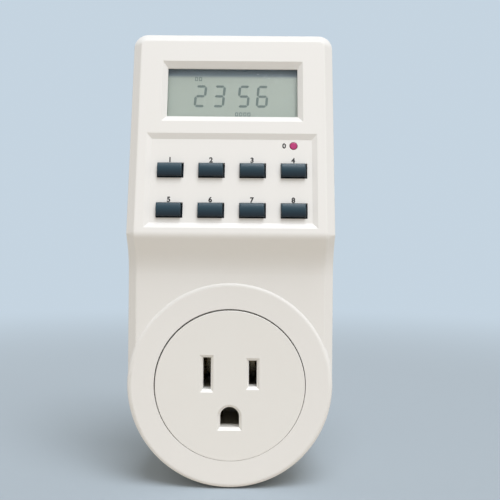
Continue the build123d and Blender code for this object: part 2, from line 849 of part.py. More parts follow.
film_capacitor = box_part(film_place, film_size)
film_capacitor.label = "film_capacitor"
export_step(film_capacitor, "parts/film_capacitor.step")

with BuildPart() as electrolytic_capacitors:
    for z, radius, height in zip(can_z, can_radii, can_heights):
        with BuildSketch(at_depth(power_front)):
            with Locations((can_x, z)):
                Circle(radius)
        extrude(amount=height)
    fillet(edges().filter_by(lambda edge: edge.center().Y < -power_front - case_round), case_round)
electrolytic_capacitors.part.label = "electrolytic_capacitors"
export_step(electrolytic_capacitors.part, "parts/electrolytic_capacitors.step")

with BuildPart() as varistor:
    with BuildSketch(Plane.XY.offset(varistor_place[1] - varistor_thick / 2)):
        with Locations((varistor_place[0], -power_front - varistor_lift - varistor_radius)):
            Circle(varistor_radius)
    extrude(amount=varistor_thick)
    fillet(edges(), case_round)
varistor.part.label = "varistor"
export_step(varistor.part, "parts/varistor.step")

with BuildPart() as resistors:
    for place in resistor_places:
        with BuildSketch(Plane.YZ.offset(place[0] - resistor_length / 2)):
            with Locations((-power_front - part_gap - resistor_radius, place[1])):
                Circle(resistor_radius)
        extrude(amount=resistor_length)
    fillet(edges(), case_round)
resistors.part.label = "resistors"
export_step(resistors.part, "parts/resistors.step")

with BuildPart() as rectifier_diodes:
    with BuildSketch(Plane.XY.offset(diode_z - diode_length / 2)):
        with Locations(*[(x, -power_front - part_gap - diode_radius) for x in diode_columns]):
            Circle(diode_radius)
    extrude(amount=diode_length)
rectifier_diodes.part.label = "rectifier_diodes"
export_step(rectifier_diodes.part, "parts/rectifier_diodes.step")

with BuildPart() as driver_transistor:
    with BuildSketch(at_depth(power_front)):
        with Locations(transistor_place):
            Circle(transistor_radius)
        with Locations((transistor_place[0], transistor_place[1] - transistor_radius)):
            Rectangle(2 * transistor_radius, transistor_radius, mode=Mode.SUBTRACT)
    extrude(amount=transistor_height)
driver_transistor.part.label = "driver_transistor"
export_step(driver_transistor.part, "parts/driver_transistor.step")

with BuildPart() as backup_cell:
    with BuildSketch(at_depth(power_front)):
        with Locations(cell_place):
            Circle(cell_radius)
    extrude(amount=cell_height)
    fillet(faces().sort_by(Axis.Y)[0].edges(), cell_round)
backup_cell.part.label = "backup_cell"
export_step(backup_cell.part, "parts/backup_cell.step")

# Wires: from the blades to the power board's lower edge, and from the relay's side to the contact


def wire(points, bends):
    """Round wire along straight runs joined by tangent arcs."""
    with BuildPart() as lead:
        with BuildLine() as route:
            FilletPolyline(*points, radius=bends)
        with BuildSketch(Plane(origin=route.line @ 0, z_dir=route.line % 0)):
            Circle(wire_radius)
        sweep()
    return lead.part


def blade_wire(x, start, board_x):
    """Wire from the upper edge of a blade to the lower edge of the power board."""
    first = start + (power_low - start) / 3
    second = start + (power_low - start) * 2 / 3
    points = [(x, -power_middle, start), (x, -power_middle, first),
              (board_x, -power_middle, second), (board_x, -power_middle, power_low)]
    return wire(points, [wire_bend, wire_bend])


live_wire = blade_wire(blade_x, live_blade_width / 2, live_wire_x)
live_wire.label = "live_wire"
export_step(live_wire, "parts/live_wire.step")

neutral_wire = blade_wire(-blade_x, neutral_blade_width / 2, neutral_wire_x)
neutral_wire.label = "neutral_wire"
export_step(neutral_wire, "parts/neutral_wire.step")

rise = (switched_wire_place[1] - tab_high) / 3
switched_route = [(blade_x, -contact_middle, tab_high),
                  (blade_x, -contact_middle, tab_high + rise),
                  (switched_wire_place[0], -contact_middle, tab_high + 2 * rise),
                  (switched_wire_place[0], -contact_middle, switched_wire_place[1]),
                  (switched_wire_place[0], -power_front, switched_wire_place[1])]
switched_wire = wire(switched_route, [wire_bend, wire_bend, wire_end_bend])
switched_wire.label = "switched_wire"
export_step(switched_wire, "parts/switched_wire.step")

# Ribbon cable between the two boards
ribbon_start = face_origin + slope_dir * ribbon_t - face_out * board_back
ribbon_turn = ribbon_start - face_out * ribbon_lead
with BuildPart() as ribbon_cable:
    with BuildSketch(Plane.YZ.offset(ribbon_x - ribbon_width / 2)):
        with BuildLine():
            FilletPolyline((ribbon_start.Y, ribbon_start.Z), (ribbon_turn.Y, ribbon_turn.Z),
                           (-power_front - ribbon_lead, ribbon_foot), (-power_front, ribbon_foot),
                           radius=ribbon_bend)
        trace(line_width=ribbon_thick)
    extrude(amount=ribbon_width)
ribbon_cable.part.label = "ribbon_cable"
export_step(ribbon_cable.part, "parts/ribbon_cable.step")

# Screws


def pan_screws(places, plane, radius, length, head_radius, head_height):
    """Group of like screws: shanks out of the plane, heads behind it with a cross recess."""
    with BuildPart(plane) as screws:
        with BuildSketch(plane):
            with Locations(*places):
                Circle(radius)
        extrude(amount=length)
        with BuildSketch(plane):
            with Locations(*places):
                Circle(head_radius)
        extrude(amount=-head_height)
        with BuildSketch(plane.offset(-head_height)):
            with Locations(*places):
                Rectangle(2 * head_radius * cross_span, cross_width)
                Rectangle(cross_width, 2 * head_radius * cross_span)
        extrude(amount=head_height * cross_sink, mode=Mode.SUBTRACT)
    return screws.part


housing_screws = pan_screws(housing_posts, at_depth(screw_seat_depth), screw_radius, screw_length,
                            screw_head_radius, screw_head_height)
housing_screws.label = "housing_screws"
export_step(housing_screws, "parts/housing_screws.step")

display_board_screws = pan_screws(board_posts, under_face(board_back), board_screw_radius,
                                  board_screw_length, board_head_radius, board_head_height)
display_board_screws.label = "display_board_screws"
export_step(display_board_screws, "parts/display_board_screws.step")

power_board_screws = pan_screws(power_posts, Plane(origin=(0, -power_front, 0), x_dir=(-1, 0, 0),
                                                   z_dir=(0, 1, 0)),
                                board_screw_radius, power_screw_length, board_head_radius,
                                board_head_height)
power_board_screws.label = "power_board_screws"
export_step(power_board_screws, "parts/power_board_screws.step")
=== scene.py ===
import json
from math import pi, radians

import bmesh
import bpy
from mathutils import Matrix, Vector


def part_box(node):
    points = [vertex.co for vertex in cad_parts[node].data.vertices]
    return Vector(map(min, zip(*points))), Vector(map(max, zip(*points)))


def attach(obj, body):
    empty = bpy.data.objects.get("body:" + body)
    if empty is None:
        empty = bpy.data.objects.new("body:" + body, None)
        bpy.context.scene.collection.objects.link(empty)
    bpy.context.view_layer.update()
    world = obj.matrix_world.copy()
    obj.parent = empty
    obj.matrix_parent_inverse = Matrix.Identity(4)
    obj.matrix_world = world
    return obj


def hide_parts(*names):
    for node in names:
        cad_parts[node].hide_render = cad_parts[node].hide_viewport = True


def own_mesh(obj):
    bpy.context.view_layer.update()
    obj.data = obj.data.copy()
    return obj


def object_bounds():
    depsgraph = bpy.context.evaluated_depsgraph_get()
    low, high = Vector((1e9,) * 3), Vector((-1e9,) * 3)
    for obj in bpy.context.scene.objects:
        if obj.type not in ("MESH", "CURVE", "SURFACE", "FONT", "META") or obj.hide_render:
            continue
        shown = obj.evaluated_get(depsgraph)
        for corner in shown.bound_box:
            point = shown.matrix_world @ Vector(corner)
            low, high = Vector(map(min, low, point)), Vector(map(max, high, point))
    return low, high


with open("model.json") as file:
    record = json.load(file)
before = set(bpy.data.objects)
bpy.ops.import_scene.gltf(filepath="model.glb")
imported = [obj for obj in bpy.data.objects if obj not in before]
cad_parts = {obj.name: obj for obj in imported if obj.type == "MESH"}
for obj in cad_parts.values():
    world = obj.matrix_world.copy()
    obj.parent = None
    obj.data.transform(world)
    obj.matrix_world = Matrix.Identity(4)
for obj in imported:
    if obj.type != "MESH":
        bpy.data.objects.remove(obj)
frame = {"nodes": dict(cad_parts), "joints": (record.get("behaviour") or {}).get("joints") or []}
cad_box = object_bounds()
nodes = frame["nodes"]

# Stage: the camera stands close in front of the timer, level with the foot of its display block.
# A broad lamp overhead, a weak one in front and an even sky light it, on a plain pale floor.
# Camera and mirror rays see the pale sky and floor; the light they send back is a little warmer.
camera_place = (0.0053, -0.2143, 0.0342)
camera_roll = radians(0.468)
sensor_width = 36
focal_share = 1.316
nearest_seen = 0.01
lamps = {"overhead_lamp": ((0.16, -0.37, 0.915), 0.68, radians(36)),
         "front_lamp": ((0.45, -0.55, 0.70), 0.08, radians(20))}
lamp_color = (0.92, 0.95, 1.0)
sky_light = 0.50
sky_fill = (1.0, 0.96, 0.90, 1)
sky_color = (0.56, 0.66, 0.75, 1)
floor_color = (0.40, 0.46, 0.51, 1)
floor_bounce = (0.62, 0.58, 0.52, 1)
floor_gap = 0.0001
floor_size = 4.0
floor_sides = 64
fade_start = 0.16
fade_end = 0.55

scene = bpy.context.scene
scene.view_settings.view_transform = "Standard"
camera_data = bpy.data.cameras.new("camera")
camera_data.sensor_width = sensor_width
camera_data.lens = focal_share * sensor_width
camera_data.clip_start = nearest_seen
camera = bpy.data.objects.new("camera", camera_data)
camera.location = camera_place
camera.rotation_euler = (pi / 2, -camera_roll, 0)
scene.collection.objects.link(camera)
scene.camera = camera

for name, (direction, strength, spread) in lamps.items():
    lamp_data = bpy.data.lights.new(name, "SUN")
    lamp_data.energy = strength * pi
    lamp_data.color = lamp_color
    lamp_data.angle = spread
    lamp = bpy.data.objects.new(name, lamp_data)
    lamp.rotation_mode = "QUATERNION"
    lamp.rotation_quaternion = Vector(direction).to_track_quat("Z", "Y")
    scene.collection.objects.link(lamp)


def add(tree, kind, **settings):
    """Node of that kind in the tree; a setting names an attribute of the node or an input of it."""
    node = tree.nodes.new(kind)
    for name, value in settings.items():
        if hasattr(node, name):
            setattr(node, name, value)
        else:
            node.inputs[name.replace("_", " ")].default_value = value
    return node


def seen_rays(tree):
    """Socket that is 1 for rays that show the background: camera, glossy and transmission rays."""
    path = add(tree, "ShaderNodeLightPath")
    glossy = add(tree, "ShaderNodeMath", operation="MAXIMUM")
    seen = add(tree, "ShaderNodeMath", operation="MAXIMUM")
    tree.links.new(path.outputs["Is Glossy Ray"], glossy.inputs[0])
    tree.links.new(path.outputs["Is Transmission Ray"], glossy.inputs[1])
    tree.links.new(path.outputs["Is Camera Ray"], seen.inputs[0])
    tree.links.new(glossy.outputs[0], seen.inputs[1])
    return seen.outputs[0]


world = bpy.data.worlds.new("sky")
world.use_nodes = True
scene.world = world
tree = world.node_tree
tree.nodes.clear()
fill = add(tree, "ShaderNodeBackground", Color=sky_fill, Strength=sky_light)
shown = add(tree, "ShaderNodeBackground", Color=sky_color, Strength=1.0)
mix = add(tree, "ShaderNodeMixShader")
tree.links.new(seen_rays(tree), mix.inputs[0])
tree.links.new(fill.outputs[0], mix.inputs[1])
tree.links.new(shown.outputs[0], mix.inputs[2])
tree.links.new(mix.outputs[0], add(tree, "ShaderNodeOutputWorld").inputs[0])

floor_mesh = bpy.data.meshes.new("floor")
shape = bmesh.new()
bmesh.ops.create_circle(shape, cap_ends=True, segments=floor_sides, radius=floor_size / 2)
bmesh.ops.translate(shape, verts=shape.verts, vec=(0, 0, cad_box[0].z - floor_gap))
shape.to_mesh(floor_mesh)
shape.free()
floor = bpy.data.objects.new("floor", floor_mesh)
scene.collection.objects.link(floor)

floor_paint = bpy.data.materials.new("floor_paint")
floor_paint.use_nodes = True
tree = floor_paint.node_tree
tree.nodes.clear()
place = add(tree, "ShaderNodeTexCoord")
distance = add(tree, "ShaderNodeVectorMath", operation="LENGTH")
fade = add(tree, "ShaderNodeMapRange", interpolation_type="SMOOTHSTEP", From_Min=fade_start,
           From_Max=fade_end)
share = add(tree, "ShaderNodeMath", operation="MULTIPLY")
bounce = add(tree, "ShaderNodeBsdfDiffuse", Color=floor_bounce)
matt = add(tree, "ShaderNodeBsdfDiffuse", Color=floor_color)
glow = add(tree, "ShaderNodeEmission", Color=sky_color, Strength=1.0)
near = add(tree, "ShaderNodeMixShader")
mix = add(tree, "ShaderNodeMixShader")
seen = seen_rays(tree)
tree.links.new(place.outputs["Object"], distance.inputs[0])
tree.links.new(distance.outputs["Value"], fade.inputs["Value"])
tree.links.new(fade.outputs[0], share.inputs[0])
tree.links.new(seen, share.inputs[1])
tree.links.new(seen, near.inputs[0])
tree.links.new(bounce.outputs[0], near.inputs[1])
tree.links.new(matt.outputs[0], near.inputs[2])
tree.links.new(share.outputs[0], mix.inputs[0])
tree.links.new(near.outputs[0], mix.inputs[1])
tree.links.new(glow.outputs[0], mix.inputs[2])
tree.links.new(mix.outputs[0], add(tree, "ShaderNodeOutputMaterial").inputs[0])
floor.data.materials.append(floor_paint)

# Casing: front and rear shells, injection moulded in white ABS with a fine spark-eroded grain.
# The front shell carries the display block, the ramp and the boss; screws pull the rear shell to it.
abs_white = (0.89, 0.88, 0.86, 1)
abs_cream = (0.87, 0.855, 0.825, 1)
noise_low = 0.3
noise_high = 0.7

# Sockets of a Mix node that mixes colours.
mix_first = 6
mix_second = 7
mix_result = 2


def new_group(name, inputs, outputs):
    """Shader node group with named inputs, as (name, kind, default), and named outputs."""
    group = bpy.data.node_groups.new(name, "ShaderNodeTree")
    for label, kind, default in inputs:
        socket = group.interface.new_socket(label, in_out="INPUT", socket_type="NodeSocket" + kind)
        socket.default_value = default
    for label, kind in outputs:
        group.interface.new_socket(label, in_out="OUTPUT", socket_type="NodeSocket" + kind)
    return group, group.nodes.new("NodeGroupInput"), group.nodes.new("NodeGroupOutput")


# Moulded finish: slow drifts of colour from the melt's flow, and a fine grain left by the tool.
moulded, given, made = new_group(
    "moulded_finish",
    [("Color", "Color", (0.8, 0.8, 0.8, 1)), ("Drift Color", "Color", (0.7, 0.7, 0.7, 1)),
     ("Drift Scale", "Float", 30.0), ("Grain Scale", "Float", 3000.0),
     ("Smoothest", "Float", 0.4), ("Roughest", "Float", 0.5)],
    [("Color", "Color"), ("Roughness", "Float"), ("Height", "Float")])
place = add(moulded, "ShaderNodeTexCoord")
drift = add(moulded, "ShaderNodeTexNoise", Detail=3.0, Roughness=0.55)
grain = add(moulded, "ShaderNodeTexNoise", Detail=2.0, Roughness=0.6)
color = add(moulded, "ShaderNodeMix", data_type="RGBA")
gloss = add(moulded, "ShaderNodeMapRange", From_Min=noise_low, From_Max=noise_high)
for noise, scale in ((drift, "Drift Scale"), (grain, "Grain Scale")):
    moulded.links.new(place.outputs["Object"], noise.inputs["Vector"])
    moulded.links.new(given.outputs[scale], noise.inputs["Scale"])
moulded.links.new(drift.outputs[0], color.inputs[0])
moulded.links.new(given.outputs["Color"], color.inputs[mix_first])
moulded.links.new(given.outputs["Drift Color"], color.inputs[mix_second])
moulded.links.new(color.outputs[mix_result], made.inputs["Color"])
moulded.links.new(drift.outputs[0], gloss.inputs["Value"])
moulded.links.new(given.outputs["Smoothest"], gloss.inputs["To Min"])
moulded.links.new(given.outputs["Roughest"], gloss.inputs["To Max"])
moulded.links.new(gloss.outputs[0], made.inputs["Roughness"])
moulded.links.new(grain.outputs[0], made.inputs["Height"])


def finish_with(name, group, bump, shader_values, **values):
    """Material whose colour, roughness and relief come from a finish group with its own values.

    bump is the relief's strength and its depth in metres.
    """
    material = bpy.data.materials.new(name)
    material.use_nodes = True
    tree = material.node_tree
    shader = tree.nodes["Principled BSDF"]
    for label, value in shader_values.items():
        shader.inputs[label].default_value = value
    effect = add(tree, "ShaderNodeGroup", node_tree=group)
    for label, value in values.items():
        effect.inputs[label.replace("_", " ")].default_value = value
    relief = add(tree, "ShaderNodeBump", Strength=bump[0], Distance=bump[1])
    tree.links.new(effect.outputs["Color"], shader.inputs["Base Color"])
    tree.links.new(effect.outputs["Roughness"], shader.inputs["Roughness"])
    tree.links.new(effect.outputs["Height"], relief.inputs["Height"])
    tree.links.new(relief.outputs["Normal"], shader.inputs["Normal"])
    return material


def dress(material, *names):
    """Gives CAD nodes their material."""
    for name in names:
        nodes[name].data.materials.clear()
        nodes[name].data.materials.append(material)


casing_abs = finish_with(
    "casing_abs", moulded, (0.25, 0.00004), {"IOR": 1.5}, Color=abs_white, Drift_Color=abs_cream,
    Drift_Scale=28.0, Grain_Scale=2600.0, Smoothest=0.42, Roughest=0.5)
dress(casing_abs, "front_cover", "rear_cover")

# Outlet: a separate round disc of white nylon, held behind the boss by its flange. Its slots and
# ground hole open over brass spring contacts, which an insulating carrier holds apart.
nylon_white = (0.88, 0.87, 0.84, 1)
nylon_cream = (0.86, 0.845, 0.81, 1)
carrier_color = (0.70, 0.68, 0.62, 1)
carrier_dark = (0.62, 0.60, 0.54, 1)
brass_color = (0.66, 0.55, 0.36, 1)
brass_dull = (0.46, 0.38, 0.26, 1)

# Drawn metal: fine lines along the strip, with tarnish in slow patches.
drawn, given, made = new_group(
    "drawn_metal",
    [("Color", "Color", (0.7, 0.7, 0.7, 1)), ("Tarnish", "Color", (0.5, 0.5, 0.5, 1)),
     ("Line Stretch", "Vector", (1.0, 1.0, 1.0)), ("Smoothest", "Float", 0.2),
     ("Roughest", "Float", 0.4)],
    [("Color", "Color"), ("Roughness", "Float"), ("Height", "Float")])
place = add(drawn, "ShaderNodeTexCoord")
stretch = add(drawn, "ShaderNodeVectorMath", operation="MULTIPLY")
lines = add(drawn, "ShaderNodeTexNoise", Scale=1500.0, Detail=2.0)
patches = add(drawn, "ShaderNodeTexNoise", Scale=220.0, Detail=3.0)
color = add(drawn, "ShaderNodeMix", data_type="RGBA")
gloss = add(drawn, "ShaderNodeMapRange", From_Min=noise_low, From_Max=noise_high)
drawn.links.new(place.outputs["Object"], stretch.inputs[0])
drawn.links.new(given.outputs["Line Stretch"], stretch.inputs[1])
drawn.links.new(stretch.outputs[0], lines.inputs["Vector"])
drawn.links.new(place.outputs["Object"], patches.inputs["Vector"])
drawn.links.new(patches.outputs[0], color.inputs[0])
drawn.links.new(given.outputs["Color"], color.inputs[mix_first])
drawn.links.new(given.outputs["Tarnish"], color.inputs[mix_second])
drawn.links.new(color.outputs[mix_result], made.inputs["Color"])
drawn.links.new(lines.outputs[0], gloss.inputs["Value"])
drawn.links.new(given.outputs["Smoothest"], gloss.inputs["To Min"])
drawn.links.new(given.outputs["Roughest"], gloss.inputs["To Max"])
drawn.links.new(gloss.outputs[0], made.inputs["Roughness"])
drawn.links.new(lines.outputs[0], made.inputs["Height"])

disc_nylon = finish_with(
    "disc_nylon", moulded, (0.2, 0.00003), {"IOR": 1.53}, Color=nylon_white, Drift_Color=nylon_cream,
    Drift_Scale=40.0, Grain_Scale=3200.0, Smoothest=0.36, Roughest=0.44)
dress(disc_nylon, "socket_face")
carrier_moulding = finish_with(
    "carrier_moulding", moulded, (0.3, 0.00004), {}, Color=carrier_color, Drift_Color=carrier_dark,
    Drift_Scale=60.0, Grain_Scale=2200.0, Smoothest=0.5, Roughest=0.62)
dress(carrier_moulding, "contact_carrier")
contact_strip = finish_with(
    "contact_strip", drawn, (0.3, 0.00002), {"Metallic": 1.0}, Color=brass_color, Tarnish=brass_dull,
    Line_Stretch=(1.0, 0.06, 1.0), Smoothest=0.18, Roughest=0.34)
dress(contact_strip, "neutral_contact", "live_contact", "ground_contact")

# Display: an acrylic window under the bezel, and behind it a liquid crystal cell of two glass plates.
# The cell shows the time in dark segments; its unlit segments stay faintly visible.
window_alpha = 0.2
acrylic_clear = (0.97, 0.98, 0.975, 1)
acrylic_tint = (0.96, 0.975, 0.97, 1)
face_foot = Vector((0, -0.0372, 0.0379))
face_out = -Vector(frame["joints"][0]["axis"])
slope_up = Vector((0, face_out.z, -face_out.y))
cell_under = 0.00245
ink_lift = 0.00003
cell_color = (0.50, 0.55, 0.48, 1)
cell_drift = (0.475, 0.53, 0.465, 1)
# Painted shadow: a darker band across the top of the cell stands for the bezel's shadow, fading in
# between two heights on the face.
cell_shadow_color = (0.22, 0.27, 0.30, 1)
cell_shadow_low = 0.0465
cell_shadow_high = 0.0478
segment_color = (0.20, 0.25, 0.23, 1)
ghost_color = (0.47, 0.52, 0.455, 1)
digit_columns = (-0.00917, -0.00384, 0.00319, 0.00846)
digit_middle = 0.0412
digit_width = 0.00335
digit_height = 0.00667
digit_slant = 0.08
stroke = 0.0007
segment_gap = 0.00009
colon_size = 0.00055
mark_rows = ((-0.00981, 0.04643, 2), (0.00294, 0.03579, 4))
mark_width = 0.00085
mark_height = 0.00115
mark_gap = 0.00030
mark_line = 0.00022
lit_segments = ("abged", "abgcd", "afgcd", "afgcde")

face_matrix = Matrix((
    (1, 0, 0, face_foot.x), (0, slope_up.y, face_out.y, face_foot.y),
    (0, slope_up.z, face_out.z, face_foot.z), (0, 0, 0, 1)))


def thicken(shape, faces, rise):
    """Makes a solid of flat faces by raising a copy of them, and gives the raised points."""
    raised = bmesh.ops.extrude_face_region(shape, geom=faces)
    top = [part for part in raised["geom"] if isinstance(part, bmesh.types.BMVert)]
    bmesh.ops.translate(shape, verts=top, vec=(0, 0, rise))
    return top


def plate_at(shape, x, t, width, height, under, thick):
    """Thin plate: x and t place its middle on the tilted face, and under is its depth below it."""
    made = bmesh.ops.create_cube(shape, size=1.0)
    bmesh.ops.scale(shape, verts=made["verts"], vec=(width, height, thick))
    bmesh.ops.translate(shape, verts=made["verts"], vec=(x, t, thick / 2 - under))


def segment_at(shape, x, t, length, upright, under):
    """One bar of a digit with pointed ends, slanted with its digit."""
    half = length / 2 - segment_gap
    corners = [(-half, 0), (-half + stroke / 2, stroke / 2), (half - stroke / 2, stroke / 2),
               (half, 0), (half - stroke / 2, -stroke / 2), (-half + stroke / 2, -stroke / 2)]
    if upright:
        corners = [(-high, along) for along, high in corners]
    verts = [shape.verts.new((x + along, t + high, -under)) for along, high in corners]
    base = shape.faces.new(verts)
    for vert in verts + thicken(shape, [base], ink_lift):
        vert.co.x += digit_slant * (vert.co.y - digit_middle)


def hollow_mark(shape, x, t, under):
    """Small plain frame that stands for a sign of the display."""
    made = bmesh.ops.create_grid(shape, x_segments=1, y_segments=1, size=0.5)
    bmesh.ops.scale(shape, verts=made["verts"], vec=(mark_width, mark_height, 1))
    bmesh.ops.translate(shape, verts=made["verts"], vec=(x, t, -under))
    middle = made["verts"][0].link_faces[0]
    frame_faces = bmesh.ops.inset_region(
        shape, faces=[middle], thickness=mark_line, use_boundary=True, use_even_offset=True)
    bmesh.ops.delete(shape, geom=[middle], context="FACES_ONLY")
    thicken(shape, frame_faces["faces"], ink_lift)


def finished(name, shape, material, body="housing"):
    """Object of a finished shape, moved from the face's own plane to its place."""
    bmesh.ops.recalc_face_normals(shape, faces=shape.faces)
    mesh = bpy.data.meshes.new(name)
    shape.to_mesh(mesh)
    shape.free()
    mesh.transform(face_matrix)
    piece = bpy.data.objects.new(name, mesh)
    scene.collection.objects.link(piece)
    piece.data.materials.append(material)
    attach(piece, body)
    return piece


def shade_along_face(material, shaded, start, end):
    """Paints shade into a finish: turns it towards a darker colour along the tilted face, from one
    height t to another.
    """
    tree = material.node_tree
    base = tree.nodes["Principled BSDF"].inputs["Base Color"]
    foot = face_foot.dot(slope_up)
    place = add(tree, "ShaderNodeTexCoord")
    height = add(tree, "ShaderNodeVectorMath", operation="DOT_PRODUCT")
    height.inputs[1].default_value = slope_up
    mask = add(tree, "ShaderNodeMapRange", interpolation_type="SMOOTHSTEP", From_Min=foot + start,
               From_Max=foot + end)
    color = add(tree, "ShaderNodeMix", data_type="RGBA")
    color.inputs[mix_second].default_value = shaded
    tree.links.new(place.outputs["Object"], height.inputs[0])
    tree.links.new(height.outputs["Value"], mask.inputs["Value"])
    tree.links.new(mask.outputs[0], color.inputs[0])
    tree.links.new(base.links[0].from_socket, color.inputs[mix_first])
    tree.links.new(color.outputs[mix_result], base)


arm = digit_height / 2 - stroke / 2
bars = {"a": (0, arm, False), "g": (0, 0, False), "d": (0, -arm, False),
        "f": (-1, arm / 2, True), "b": (1, arm / 2, True),
        "e": (-1, -arm / 2, True), "c": (1, -arm / 2, True)}
lit = bmesh.new()
ghost = bmesh.new()
for column, shown_bars in zip(digit_columns, lit_segments):
    for bar, (side, rise, upright) in bars.items():
        length = arm if upright else digit_width - stroke
        segment_at(lit if bar in shown_bars else ghost, column + side * (digit_width - stroke) / 2,
                   digit_middle + rise, length, upright, cell_under)
for rise in (-arm / 2, arm / 2):
    plate_at(ghost, (digit_columns[1] + digit_columns[2]) / 2, digit_middle + rise, colon_size,
             colon_size, cell_under, ink_lift)
for x, t, count in mark_rows:
    for i in range(count):
        hollow_mark(lit, x + (i - (count - 1) / 2) * (mark_width + mark_gap), t, cell_under)

for name, shape, film, film_color in (
        ("display_digits", lit, "lit_segment_film", segment_color),
        ("display_unlit_segments", ghost, "unlit_segment_film", ghost_color)):
    ink = finish_with(
        film, moulded, (0.05, 0.00001), {"Specular IOR Level": 0.3}, Color=film_color,
        Drift_Color=film_color, Drift_Scale=200.0, Grain_Scale=6000.0, Smoothest=0.4, Roughest=0.5)
    finished(name, shape, ink)

cell_glass = finish_with(
    "cell_polarizer", moulded, (0.03, 0.00001), {"IOR": 1.5}, Color=cell_color, Drift_Color=cell_drift,
    Drift_Scale=90.0, Grain_Scale=9000.0, Smoothest=0.2, Roughest=0.28)
# Paints the bezel's shadow on the cell as a darker band along its top.
shade_along_face(cell_glass, cell_shadow_color, cell_shadow_low, cell_shadow_high)
dress(cell_glass, "lcd_front_plate", "lcd_rear_plate")

window_acrylic = finish_with(
    "window_acrylic", moulded, (0.02, 0.00001),
    {"Transmission Weight": 1.0, "IOR": 1.49, "Alpha": window_alpha},
    Color=acrylic_clear, Drift_Color=acrylic_tint, Drift_Scale=80.0, Grain_Scale=900.0,
    Smoothest=0.015, Roughest=0.03)
dress(window_acrylic, "display_lens")

# Keys: eight caps of dark blue-green ABS with a faint crown, in two rows, and a small pink reset
# plunger. A printed number stands above each key, and one beside the plunger.
key_top = (0.016, 0.052, 0.075, 1)
key_drift = (0.013, 0.042, 0.060, 1)
# Painted shade: each key's colour darkens towards its lower edge, where its crown turns away from the
# overhead light.
key_painted_shade = (0.004, 0.012, 0.020, 1)
key_shade_start = 0.0012
key_shade_end = -0.0017
reset_color = (0.56, 0.045, 0.20, 1)
reset_shade = (0.48, 0.035, 0.17, 1)
legend_ink = (0.030, 0.028, 0.028, 1)
panel_under = 0.0007
legend_rise = 0.0031
legend_height = 0.00142
numeral_share = 0.72
legend_steps = 6
weld_distance = 0.000001
legend_lift = 0.00002
legend_bold = 0.00008
key_names = ("key_week", "key_hour", "key_minute", "key_recall",
             "key_clock", "key_timer", "key_mode", "key_random")
reset_legend_shift = 0.0026

reset_plastic = finish_with(
    "reset_plastic", moulded, (0.1, 0.00001), {"IOR": 1.5}, Color=reset_color, Drift_Color=reset_shade,
    Drift_Scale=500.0, Grain_Scale=6000.0, Smoothest=0.25, Roughest=0.35)
dress(reset_plastic, "reset_button")

print_ink = finish_with(
    "print_ink", moulded, (0.1, 0.00001), {"Specular IOR Level": 0.35}, Color=legend_ink,
    Drift_Color=legend_ink, Drift_Scale=400.0, Grain_Scale=8000.0, Smoothest=0.45, Roughest=0.55)


def on_face(node):
    """Where a node's middle lies on the tilted face, as x and t."""
    low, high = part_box(node)
    middle = (low + high) / 2 - face_foot
    return middle.x, middle.dot(slope_up)


def legend(name, text, x, t):
    """Printed numeral, centred at x and t on the floor of the key panel."""
    curve = bpy.data.curves.new(name, "FONT")
    curve.body = text
    curve.align_x = "CENTER"
    curve.align_y = "CENTER"
    curve.size = legend_height / numeral_share
    curve.extrude = legend_lift
    curve.offset = legend_bold
    curve.resolution_u = legend_steps
    writing = bpy.data.objects.new(name, curve)
    scene.collection.objects.link(writing)
    bpy.context.view_layer.update()
    mesh = bpy.data.meshes.new_from_object(writing)
    bpy.data.objects.remove(writing)
    shape = bmesh.new()
    shape.from_mesh(mesh)
    bpy.data.meshes.remove(mesh)
    bmesh.ops.remove_doubles(shape, verts=shape.verts, dist=weld_distance)
    bmesh.ops.translate(shape, verts=shape.verts, vec=(x, t, -panel_under))
    finished(name, shape, print_ink)


for row_name, row in (("upper", key_names[:4]), ("lower", key_names[4:])):
    key_abs = finish_with(
        row_name + "_key_abs", moulded, (0.15, 0.00002), {"IOR": 1.5}, Color=key_top,
        Drift_Color=key_drift, Drift_Scale=300.0, Grain_Scale=5000.0, Smoothest=0.28, Roughest=0.36)
    row_t = on_face(row[0])[1]
    # Paints shade on the lower part of each key in the row.
    shade_along_face(key_abs, key_painted_shade, row_t + key_shade_start, row_t + key_shade_end)
    dress(key_abs, *row)

for number, name in enumerate(key_names, start=1):
    x, t = on_face(name)
    legend(name.replace("key_", "legend_"), str(number), x, t + legend_rise)
x, t = on_face("reset_button")
legend("legend_reset", "0", x - reset_legend_shift, t)

# Keypad: one sheet of grey silicone on the display board, with a hollow dome under each key and under
# the reset plunger. Each dome is a piece of its own, because only its own key presses it down; its
# place is x and t on the tilted face, and its size is a share of a key's dome.
silicone_grey = (0.55, 0.57, 0.57, 1)
silicone_worn = (0.50, 0.52, 0.52, 1)
sheet_under = 0.0065
sheet_thick = 0.001
sheet_middle = 0.016075
sheet_width = 0.04228
sheet_length = 0.02535
dome_columns = (-0.01684, -0.00548, 0.00588, 0.01724)
dome_rows = (0.01866, 0.0073)
reset_dome = (0.01715, 0.0259, 0.65)
dome_foot = 0.003
dome_top = 0.0021
dome_height = 0.00255
dome_roof = 0.0016
dome_skin = 0.0007
dome_round = 0.0003
dome_sides = 48
crease = radians(30)

keypad_rubber = finish_with(
    "keypad_rubber", moulded, (0.2, 0.00003), {"Sheen Weight": 0.1}, Color=silicone_grey,
    Drift_Color=silicone_worn, Drift_Scale=120.0, Grain_Scale=3000.0, Smoothest=0.6, Roughest=0.7)
dome_places = dict(zip(key_names, [(x, t, 1.0) for t in dome_rows for x in dome_columns]))
dome_places["reset_button"] = reset_dome


def keypad_piece(name, shape):
    """Silicone piece that stands for the keypad, set down at the sheet's face."""
    bmesh.ops.translate(shape, verts=shape.verts, vec=(0, 0, -sheet_under))
    piece = finished(name, shape, keypad_rubber)
    piece.data.shade_smooth()
    piece.data.set_sharp_from_angle(angle=crease)
    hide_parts("keypad_membrane")
    return piece


